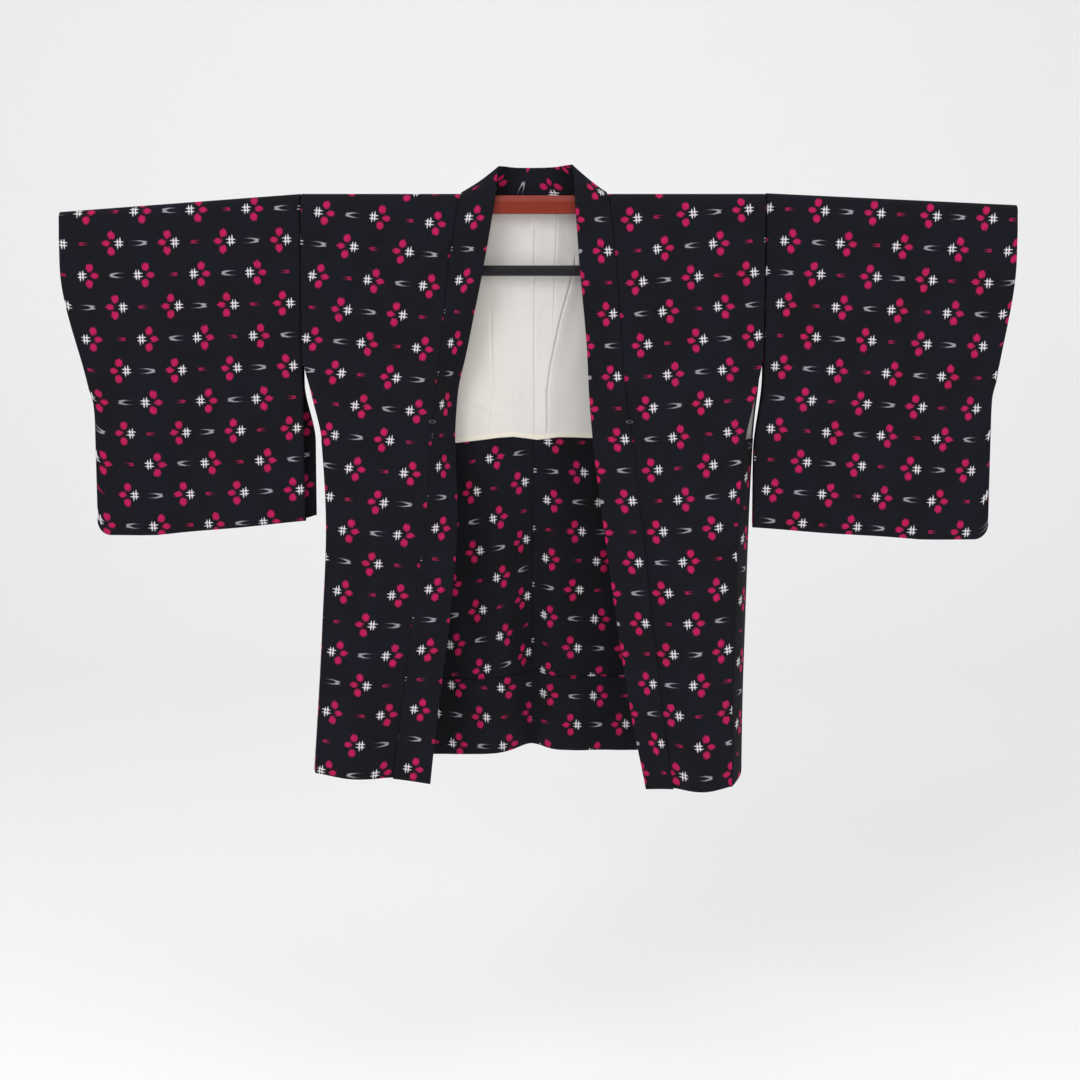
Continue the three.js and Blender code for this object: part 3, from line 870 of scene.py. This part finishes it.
@dataclass
class Body:
    """The two body widths, the side gussets, the back lining and the inner hem."""

    wardrobe: Wardrobe
    neck_columns: int = 26
    shoulder_columns: int = 58
    back_rows: int = 150
    front_rows: int = 150
    region_shares: ClassVar[tuple[float, float, float]] = (0.001, 0.22, 0.992)
    gusset_bow: ClassVar[float] = 6.0
    gather_height: ClassVar[float] = 0.6
    gather_half_width: ClassVar[float] = 16.0
    turned_edge: ClassVar[float] = 0.45
    arch: ClassVar[Rows] = (
        (10.7, 2.6), (10.1, 5.2), (7.6, 9.7), (4.8, 12.6), (2.4, 13.4), (-2.4, 13.4),
        (-4.8, 12.6), (-7.6, 9.7), (-10.1, 5.2), (-10.7, 2.6),
    )
    lining_edge: ClassVar[Rows] = (
        (-110.0, 6.5), (-75.0, 2.5), (-52.0, -0.5), (-32.0, -1.7), (-14.0, 0.5), (0.0, 2.4),
        (13.0, 1.0), (28.0, -1.1), (50.0, -0.6), (72.0, 0.3), (110.0, 0.8))
    lining_folds: ClassVar[tuple[Groove, ...]] = (
        Groove(((-2, 0), (-4, -60), (-4, -312)), 1.3, 9.0, 0.9),
        Groove(((27, -14), (25, -60), (22, -150)), 1.6, 8.0, 0.8, end=30.0),
        Groove(((51, -80), (31, -152), (18, -214), (13.5, -248), (14, -300)), 3.2, 13.0, 1.1),
        Groove(((-2, -14), (-14, -40), (-29, -64)), 1.2, 7.0, 0.7, end=8.0),
        Groove(((-36, -60), (-29, -64), (-24, -60)), 0.8, 5.0, 0.6, end=4.0),
        Groove(((-62, -170), (-60, -240), (-66, -290)), 1.3, 15.0, 1.6, end=40.0),
        Groove(((-30, -130), (-34, -200), (-30, -270)), 1.1, 12.0, 1.5, end=40.0),
        Groove(((-88, -262), (-70, -268), (-58, -276)), 1.2, 8.0, 0.9, end=8.0),
    )
    front_repeat: ClassVar[dict] = halves(Repeat(6.0, 7.0, -11.0, 41.0), Repeat(-5.0, -6.0, -3.0, 9.0))
    back_repeat: ClassVar[dict] = halves(Repeat(2.0, 9.0, 6.0, 37.0), Repeat(0.0, -2.0, -20.0, 28.0))
    hem_repeat: ClassVar[dict] = halves(Repeat(2.0, -5.0, -3.0, 23.0), Repeat(-2.0, 0.0, 30.0, 35.0))
    side_repeat: ClassVar[dict] = halves(Repeat(across=20.0, along=12.0), Repeat(across=-14.0, along=-8.0))
    creases: ClassVar[dict[Side, tuple[Crease, ...]]] = {
        Side.LEFT: (
            Crease(250, 170, 62, 120, 10, 2.2),
            Crease(272, 240, 74, 150, 9, -2.6),
            Crease(215, 420, 86, 200, 13, 2.8),
            Crease(262, 560, 92, 170, 12, -2.4),
            Crease(180, 90, 78, 60, 9, 1.4),
        ),
        Side.RIGHT: (
            Crease(252, 190, 112, 120, 10, -2.2),
            Crease(225, 330, 96, 190, 12, 2.6),
            Crease(270, 480, 90, 180, 11, -2.4),
            Crease(205, 620, 84, 130, 12, 2.4),
            Crease(165, 80, 98, 70, 9, 1.2),
        ),
    }

    def width(self, side: Side) -> Cloth:
        """Back, shoulder and front as one grid, with the neck cut away. The repeat of the front passes
        into that of the back over the upper back.

        Args:
            side: The half of the haori.

        Returns:
            The width, with its relief.
        """
        seam = NECK_HALF_WIDTH / abs(BACKS[side].rows[0][1])
        neck = np.linspace(0.0, seam, self.neck_columns, endpoint=False)
        back_share = np.append(neck, np.linspace(seam, 1.0, self.shoulder_columns))
        front_share = np.append(np.zeros(self.neck_columns), np.linspace(0.0, 1.0, self.shoulder_columns))
        back = back_cloth(side, back_share[None, :], np.linspace(1.0, 0.0, self.back_rows)[:, None])
        front = front_cloth(side, front_share[None, :], np.linspace(0.0, 1.0, self.front_rows)[:, None])
        arch = np.array(self.arch)
        blend = ((np.arange(len(arch)) + 1.0) / (len(arch) + 1.0))[:, None]
        arch_x = mix(back[-1:, :, 0], front[:1, :, 0], blend)
        over = stack_last(arch_x, arch[:, :1], arch[:, 1:])
        points = np.concatenate([back, over, front])
        length, top = running_length(points, 0), self.back_rows - 1
        rise = length[top + 1 + len(arch) // 2, -1] - length[top, -1]
        v = length - length[top] - rise
        run = running_length(points, 1)
        breadth = run[:, -1:]
        on_back = np.arange(len(points))[:, None] < self.back_rows
        u = np.where(on_back, run * BODY_WIDTH / breadth, BODY_WIDTH - (breadth - run))
        keep = np.ones((len(points) - 1, points.shape[1] - 1), dtype=bool)
        keep[self.back_rows - 1:, :self.neck_columns] = False
        front_lay = self.front_repeat[side].lay(points[..., 0], v)
        back_lay = self.back_repeat[side].lay(side.value * u, v)
        flat = mix(back_lay, front_lay, smooth(v, -260.0, -10.0)[..., None])
        relief = self.relief(side, u, v) * smooth(v, 0.0, 60.0)
        return Cloth(points, flat, keep).moved(-relief * side.value)

    def relief(self, side: Side, u: Array, v: Array) -> Array:
        """The body's listed creases and its small unevenness, which fades out at the shoulder."""
        low = smooth(np.abs(v), 30.0, 200.0)
        edge = smooth(u, 0.0, 25.0) * smooth(BODY_WIDTH - u, 0.0, 14.0)
        total = ripple(u, v, 1.3, 3 + side.value) * low
        for crease in self.creases[side]:
            total = total + crease.height(u, v)
        return total * edge

    def back_region(self, side: Side, top: float, hem: float, step: float, rows: int,
                    repeat: Repeat = Repeat()) -> Cloth:
        """A layer on the inner face of a back panel, with its columns closest near the centre.

        Args:
            side: The half of the haori.
            top: The height of its upper edge.
            hem: The height of its lower edge.
            step: How far it lies inside the panel's middle.
            rows: The rows of its grid.
            repeat: How the woven repeat lies on it.

        Returns:
            The cloth, with its face towards the front.
        """
        first, dense, last = self.region_shares
        fine, coarse = np.linspace(first, dense, 84), np.linspace(dense, last, 56)[1:]
        across = np.append(fine, coarse)[None, :]
        down = np.linspace(top / BACK_HEM, hem / BACK_HEM, rows)[:, None]
        points = back_cloth(side, across, down)
        lay = repeat.lay(side.value * across * BODY_WIDTH, points[..., 2])
        return Cloth(points, lay).moved(-side.value * step)

    def build(self) -> None:
        """Builds every piece of the body."""
        for side in Side:
            panel = sew(f"body_width_{side.word}", self.width(side).face_out(side), self.wardrobe.kasuri)
            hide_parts(f"body_panel_{side.word}")
            self.gusset(side)
            self.facing(side)
            self.lining(side)

    def gusset(self, side: Side) -> None:
        """The tapered strip between the front's side edge and the back's side edge."""
        down = np.linspace(0.0, 1.0, 90)[:, None]
        edges = []
        for table, hem in ((FRONTS[side], FRONT_HEMS[side][1]), (BACKS[side], BACK_HEM)):
            z = mix(GUSSET_TOP, hem, down)
            edges.append(stack_last(table.at("side_x", z), table.at("side_y", z), z))
        across = np.linspace(0.0, 1.0, 14)[None, :, None]
        points = mix(*edges, across)
        points[..., 0] += side.value * self.gusset_bow * down * np.sin(math.pi * across[..., 0])
        lay = self.side_repeat[side].lay(side.value * running_length(points, 1), -points[..., 2])
        piece = sew(f"side_gusset_{side.word}", Cloth(points, lay).face_out(side), self.wardrobe.kasuri)
        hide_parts(f"gusset_{side.word}")

    def facing(self, side: Side) -> None:
        """The deep inner hem of the back, a strip of the same kasuri cloth with its own repeat."""
        step = CLOTH_WALL + LAYER_GAP
        cloth = self.back_region(side, FACING_TOP, BACK_HEM, step, 40, self.hem_repeat[side])
        piece = sew(f"inner_hem_{side.word}", cloth.face_out(side), self.wardrobe.kasuri)
        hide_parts(f"hem_facing_{side.word}")

    def lining(self, side: Side) -> None:
        """The ivory half lining, with gathers at the neck, a loose pleat and a turned lower edge."""
        step = CLOTH_WALL / 2 + LAYER_GAP + LINING_WALL / 2
        cloth = self.back_region(side, -1.0, LINING_HEM, step, 200)
        x, z = cloth.points[..., 0], cloth.points[..., 2]
        above_hem = z - LINING_HEM
        height = sum(fold.height(x, z) for fold in self.lining_folds) + 0.5 * ripple(x, z, 1.0, 31)
        height = height * smooth(above_hem, 2.0, 16.0)
        gathers = np.sin(x / 1.9) + 0.6 * np.sin(x / 3.1 + 1.0)
        spread = np.exp(-((x / self.gather_half_width) ** 2))
        height = height + self.gather_height * gathers * spread * smooth(z, -34.0, -12.0)
        height = height + self.turned_edge * (1.0 - smooth(above_hem, 5.0, 6.5))
        cloth.points[..., 1] -= np.maximum(height, -0.2) + 0.3
        place, drop = np.array(self.lining_edge).T
        cloth.points[..., 2] -= np.interp(x, place, drop) * (1.0 - smooth(above_hem, 0.0, 60.0))
        name = f"back_lining_{side.word}"
        piece = sew(name, cloth.face_out(side), self.wardrobe.lining, LINING_WALL)
        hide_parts(f"lining_{side.word}")


@dataclass
class Collar:
    """The collar band: two layers folded at the inner edge, sewn to the fronts and round the neck."""

    wardrobe: Wardrobe
    band_width: float = 50.0
    crown: float = 0.9
    sink: float = 0.6
    rows: int = 420
    columns: int = 24
    repeats: ClassVar[dict] = halves(Repeat(across=33.0, along=-37.0), Repeat(across=41.0, along=-51.0))
    neck: ClassVar[Rows] = (
        (-53, -13, 30, -100, -9.5, 11),
        (-51, -5, 47, -97, 1, 15.6),
        (-44, 12, 50, -92, 11, 11.5),
        (-26, 23, 50, -60, 16.5, 5),
        (-2, 27, 50, -2, 17.5, 5),
        (24, 24, 51, 60, 16.5, 5),
        (41, 12, 52, 86, 11, 11.5),
        (47, -5, 49, 90, 1, 15.6),
        (49, -13, 30, 92, -9.5, 11),
    )

    def front_edge(self, side: Side, down: Array) -> Array:
        """The fold and the seam of the band on a front, a row of six numbers for each step down."""
        z = FRONT_HEMS[side][0] * down
        table = FRONTS[side]
        return np.stack([table.at("fold_x", z), table.at("fold_y", z), z,
                         table.at("seam_x", z), table.at("seam_y", z), z * 0.995], axis=-1)

    def route(self) -> Array:
        """The band's two edges from hem to hem: the fronts' curves joined by the neck's stations,
        resampled evenly along the fold with a smooth spline through them."""
        down = np.linspace(1.0, 0.0, 60)
        stations = np.concatenate([
            self.front_edge(Side.LEFT, down), np.array(self.neck), self.front_edge(Side.RIGHT, down[::-1])])
        run = np.append(0.0, np.cumsum(np.linalg.norm(np.diff(stations[:, :3], axis=0), axis=1) +
                                       np.linalg.norm(np.diff(stations[:, 3:], axis=0), axis=1)))
        slope = np.gradient(stations, run, axis=0)
        t = np.linspace(0.0, run[-1], self.rows)
        i = np.clip(np.searchsorted(run, t) - 1, 0, len(run) - 2)
        span = (run[i + 1] - run[i])[:, None]
        share = (t - run[i])[:, None] / span
        return hermite(share, span, (stations[i], stations[i + 1]), (slope[i], slope[i + 1]))

    def build(self) -> None:
        """Builds the band and gives the two cord loops on its seam their finish."""
        route = self.route()
        across = np.linspace(0.0, 1.0, self.columns)[None, :, None]
        points = mix(route[:, None, :3], route[:, None, 3:], across)
        middle = running_length(points, 0)[:, self.columns // 2]
        half = middle[-1] / 2
        breadth, run = across[..., 0] * self.band_width, (half - middle)[:, None]
        left, right = (self.repeats[side].lay(-breadth, run) for side in Side)
        cloth = Cloth(points, mix(left, right, smooth(-run, -90.0, 90.0)[..., None]))
        bow = np.sin(math.pi * across[..., 0])
        crown = self.crown * bow ** 0.6 - self.sink
        cloth = cloth.moved(crown + ripple(breadth, run * 0.4, 0.5, 9) * bow)
        band = sew("collar_band", cloth, self.wardrobe.kasuri, COLLAR_WALL)
        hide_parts("collar")
        for side in Side:
            dress_node(f"tie_loop_{side.word}", self.wardrobe.cord)


@dataclass
class Sleeve:
    """A square sleeve: one loop of cloth over the hanger's arm, sewn shut below the cuff opening."""

    wardrobe: Wardrobe
    side: Side
    seam_x: float
    top_inner: float
    top_outer: float
    cuff_top: float
    cuff_low: float
    hem_inner: float
    hem_outer: float
    back_reach: float
    lean: float
    fold_radius: float = 8.5
    corner: float = 20.0
    corner_share: float = 0.06
    hem_radius: float = 3.0
    gap_high: float = 10.5
    gap_low: float = 5.5
    sway: float = 3.0
    repeat: Repeat = Repeat()
    creases: tuple[Crease, ...] = ()

    def ring(self) -> tuple[Array, Array, Array]:
        """The stations round the loop, from the middle of the hem up the back, over the fold and down
        the front.

        Returns:
            The share of the depth, the angle over a fold in radians, and the layer (-1 front, 1 back,
            0 at the folds).
        """
        rows = (5, 110, 13, 110, 4)
        arch = np.linspace(-90.0, 90.0, rows[2])
        depth = np.linspace(0.0, 1.0, rows[1] + 2)[1:-1]
        hem = np.linspace(90.0, 0.0, rows[0])
        share = np.concatenate([np.ones(rows[0]), depth[::-1], np.zeros(rows[2]), depth, np.ones(rows[4])])
        angle = np.concatenate([-hem[::-1], np.full(rows[1], -90.0), arch, np.full(rows[3], 90.0), hem[:-1]])
        layer = np.repeat([0.0, 1.0, 0.0, -1.0, 0.0], rows)
        return share[:, None], np.radians(angle)[:, None], layer[:, None]

    def cloth(self) -> Cloth:
        """The sleeve's loop: at each share of its depth both layers stand half the gap from the middle,
        the gap closing towards the hem and, past the cuff opening, towards the cuff."""
        share, angle, layer = self.ring()
        edge = np.sin(np.linspace(0.0, math.pi / 2, 14))
        end = 1.0 - self.corner_share
        along = np.append(np.linspace(0.0, end, 84), end + self.corner_share * edge[1:])[None, :]
        fold_z = mix(self.top_inner, self.top_outer, along) - self.fold_radius
        cut = np.clip((along - end) / self.corner_share, 0.0, 1.0)
        hem_z = (mix(self.hem_inner, self.hem_outer, np.minimum(along * 1.4, 1.0))
                 + self.corner * (1.0 - np.sqrt(np.maximum(1.0 - cut**2, 0.0))))
        pinch = smooth(along, 0.7, 1.0)
        radius = mix(self.hem_radius, CLOTH_WALL, pinch)
        depth = share * (fold_z - hem_z - radius) + np.where(share >= 1.0, radius, 0.0)
        closing = pinch * smooth(depth, CUFF_OPENING - 10.0, CUFF_OPENING + 15.0)
        free = mix(self.gap_high, self.gap_low, smooth(depth, 150.0, 430.0))
        half = mix(self.fold_radius, mix(free, radius, closing), smooth(depth, 0.0, 30.0))
        sway = self.sway * smooth(depth, 80.0, 430.0) * np.sin(along * 12.0 + 1.0) * (1.0 - pinch)
        reach = np.where(layer > 0, self.back_reach * smooth(depth, 240.0, 320.0), 0.0)
        inner = self.seam_x - reach - self.lean * smooth(depth, 230.0, 340.0)
        cuff = mix(self.cuff_top, self.cuff_low, smooth(depth, 60.0, CUFF_OPENING + 40.0))
        x = self.side.value * mix(inner, cuff, along)
        at_fold = (layer == 0) & (share <= 0.0)
        at_hem = (layer == 0) & (share >= 1.0)
        y = np.where(at_fold, -self.fold_radius * np.sin(angle),
                     np.where(at_hem, -radius * np.sin(angle) + sway, layer * half + sway))
        z = np.where(at_fold, fold_z + self.fold_radius * np.cos(angle),
                     np.where(at_hem, hem_z + radius * (1.0 - np.cos(angle)), fold_z - depth))
        points = stack_last(x, y, z)
        v = running_length(points, 0)[:, :1]
        v = v - v[np.argmax(points[:, 0, 2])]
        u = along * SLEEVE_WIDTH
        relief = ripple(u, np.abs(v), 1.1, 20 + self.side.value)
        for crease in self.creases:
            relief = relief + crease.height(u, np.abs(v))
        calm = smooth(np.abs(v), 20.0, 120.0) * smooth(SLEEVE_WIDTH - u, 0.0, 30.0) * smooth(u, 0.0, 20.0)
        calm = calm * smooth(440.0 - np.abs(v), 0.0, 60.0)
        cloth = Cloth(points, self.repeat.lay(points[..., 0], v), closed=True)
        return cloth.moved(-self.side.value * relief * calm)

    def build(self) -> None:
        """Builds the sleeve."""
        word = self.side.word
        piece = sew(f"square_sleeve_{word}", self.cloth().face_out(self.side), self.wardrobe.kasuri)
        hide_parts(f"sleeve_{word}")


# ---- The hanger ----


@dataclass
class Hanger:
    """The kimono hanger: a lacquered bar, telescopic arms, a lower rod and the links that carry it."""

    wardrobe: Wardrobe
    half_length: float = 299.9
    height: float = 24.0
    depth: float = 18.0
    bevel: tuple[float, float] = (5.0, 8.5)
    ease: float = 1.0

    def build(self) -> None:
        """Builds the bar with eased edges and dresses the rods."""
        half, low, top = self.depth / 2, -self.height / 2, self.height / 2
        run, drop = self.bevel
        profile = np.array([(-half, low), (half, low), (half, top - drop), (half - run, top),
                            (run - half, top), (-half, top - drop)])
        ends = np.array([-self.half_length, self.half_length])
        points = np.array([(x, y, z) for x in ends for y, z in profile])
        count = len(profile)
        sides = [(i, i + count, (i + 1) % count + count, (i + 1) % count) for i in range(count)]
        caps = [tuple(range(count)), tuple(range(2 * count - 1, count - 1, -1))]
        name = "lacquered_bar"
        bar = stand(name, new_mesh(name, points * MM, sides + caps, self.wardrobe.lacquer))
        rounding = bar.modifiers.new("eased_edges", "BEVEL")
        rounding.width = self.ease * MM
        rounding.segments = 4
        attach(bar, "root")
        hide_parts("hanger_bar")
        names = ["hanger_rod"] + [f"hanger_{part}_{side.word}" for part in ("arm", "link") for side in Side]
        for name in names:
            dress_node(name, self.wardrobe.enamel)
        LOG.info("hanger: bar and %d rods", len(names))


# ---- The studio ----


@dataclass
class Studio:
    """A pale sweep of floor and wall, soft lights and the camera."""

    distance: float = 2.0
    eye_height: float = -0.12
    tilt: float = 5.5
    lens: float = 50.0
    shift: tuple[float, float] = (0.0028, -0.0921)
    floor: float = -1.25
    near: float = -6.0
    bend_start: float = 2.4
    bend_radius: float = 1.2
    wall_height: float = 7.0
    half_width: float = 9.0
    aim: tuple[float, float, float] = (0.0, 0.0, -0.35)

    def sweep(self) -> None:
        """A floor that curves up into a wall: a flat run, a quarter turn and a rise, in metres."""
        turn, radius = np.linspace(0.0, math.pi / 2, 24), self.bend_radius
        y = np.concatenate([[self.near], self.bend_start + radius * np.sin(turn), [self.bend_start + radius]])
        z = np.concatenate([[0.0], radius - radius * np.cos(turn), [self.wall_height]]) + self.floor
        points = stack_last(np.array([[-self.half_width, self.half_width]]), y[:, None], z[:, None])
        faces = Cloth(points, points[..., :2]).quads().tolist()
        paper = Finish("white_paper")
        paper.set(Base_Color=linear("#ffffff"), Roughness=0.9, Specular_IOR_Level=0.1)
        mesh = new_mesh("studio_sweep", points, faces, paper.material)
        mesh.polygons.foreach_set("use_smooth", np.ones(len(mesh.polygons), dtype=bool))
        stand("studio_sweep", mesh)

    def lamp(self, name: str, place: tuple[float, float, float], size: float, power: float) -> None:
        """A square area light that faces the haori.

        Args:
            name: The lamp's name.
            place: Where it stands, in metres.
            size: Its side, in metres.
            power: Its power, in watts.
        """
        light = bpy.data.lights.new(name, "AREA")
        light.size = size
        light.energy = power
        lamp = stand(name, light)
        x, y, z = np.array(place) - np.array(self.aim)
        lamp.location = place
        lamp.rotation_euler = (math.atan2(math.hypot(x, y), z), 0.0, math.atan2(x, -y))

    def build(self) -> None:
        """Builds the sweep, the lights, the world and the camera."""
        self.sweep()
        self.lamp("window_left", (-2.2, -2.6, 1.6), 1.8, 50.0)
        self.lamp("fill_right", (2.6, -2.4, 0.6), 2.2, 28.0)
        self.lamp("top_soft", (0.0, -0.6, 2.6), 2.0, 22.0)
        world = bpy.data.worlds.new("pale_room")
        world.use_nodes = True
        background = world.node_tree.nodes["Background"]
        background.inputs["Color"].default_value = linear("#fbfbfd")
        background.inputs["Strength"].default_value = 0.62
        scene = bpy.context.scene
        scene.world = world
        scene.view_settings.view_transform = "Standard"
        camera = stand("camera", bpy.data.cameras.new("camera"))
        camera.location = (0.0, -self.distance, self.eye_height)
        camera.rotation_euler = (math.radians(90.0 - self.tilt), 0.0, 0.0)
        camera.data.lens = self.lens
        camera.data.shift_x, camera.data.shift_y = self.shift
        scene.camera = camera


def write_sizes() -> None:
    """Brings the view layer up to date."""
    bpy.context.view_layer.update()


def main() -> None:
    """Builds the studio and the haori, piece by piece."""
    logging.basicConfig(level=logging.INFO, format="%(name)s: %(message)s")
    Studio().build()
    wardrobe = Wardrobe()
    Hanger(wardrobe).build()
    Body(wardrobe).build()
    Collar(wardrobe).build()
    Sleeve(wardrobe, Side.LEFT, seam_x=311.6, top_inner=13.5, top_outer=-10.0, cuff_top=629.0,
           cuff_low=591.0, hem_inner=-421.0, hem_outer=-440.0, back_reach=14.0, lean=0.0,
           repeat=Repeat(-2.0, 3.0, 15.0, -18.0), creases=(
        Crease(60, 150, 70, 150, 14, 2.4),
        Crease(110, 300, 84, 120, 12, -2.2),
        Crease(210, 330, 96, 110, 13, 2.4),
        Crease(275, 240, 104, 110, 11, -2.0),
        Crease(160, 170, 88, 130, 15, -1.6),
    )).build()
    Sleeve(wardrobe, Side.RIGHT, seam_x=301.6, top_inner=14.5, top_outer=-1.0, cuff_top=632.0,
           cuff_low=607.0, hem_inner=-430.0, hem_outer=-446.0, back_reach=0.0, lean=11.0,
           repeat=Repeat(3.0, 0.0, -34.0, 38.0), creases=(
        Crease(48, 170, 106, 150, 13, 2.4),
        Crease(120, 320, 92, 110, 12, -2.0),
        Crease(200, 300, 84, 120, 14, 2.2),
        Crease(285, 250, 78, 110, 11, -2.0),
    )).build()
    write_sizes()


if __name__ == "__main__":
    main()
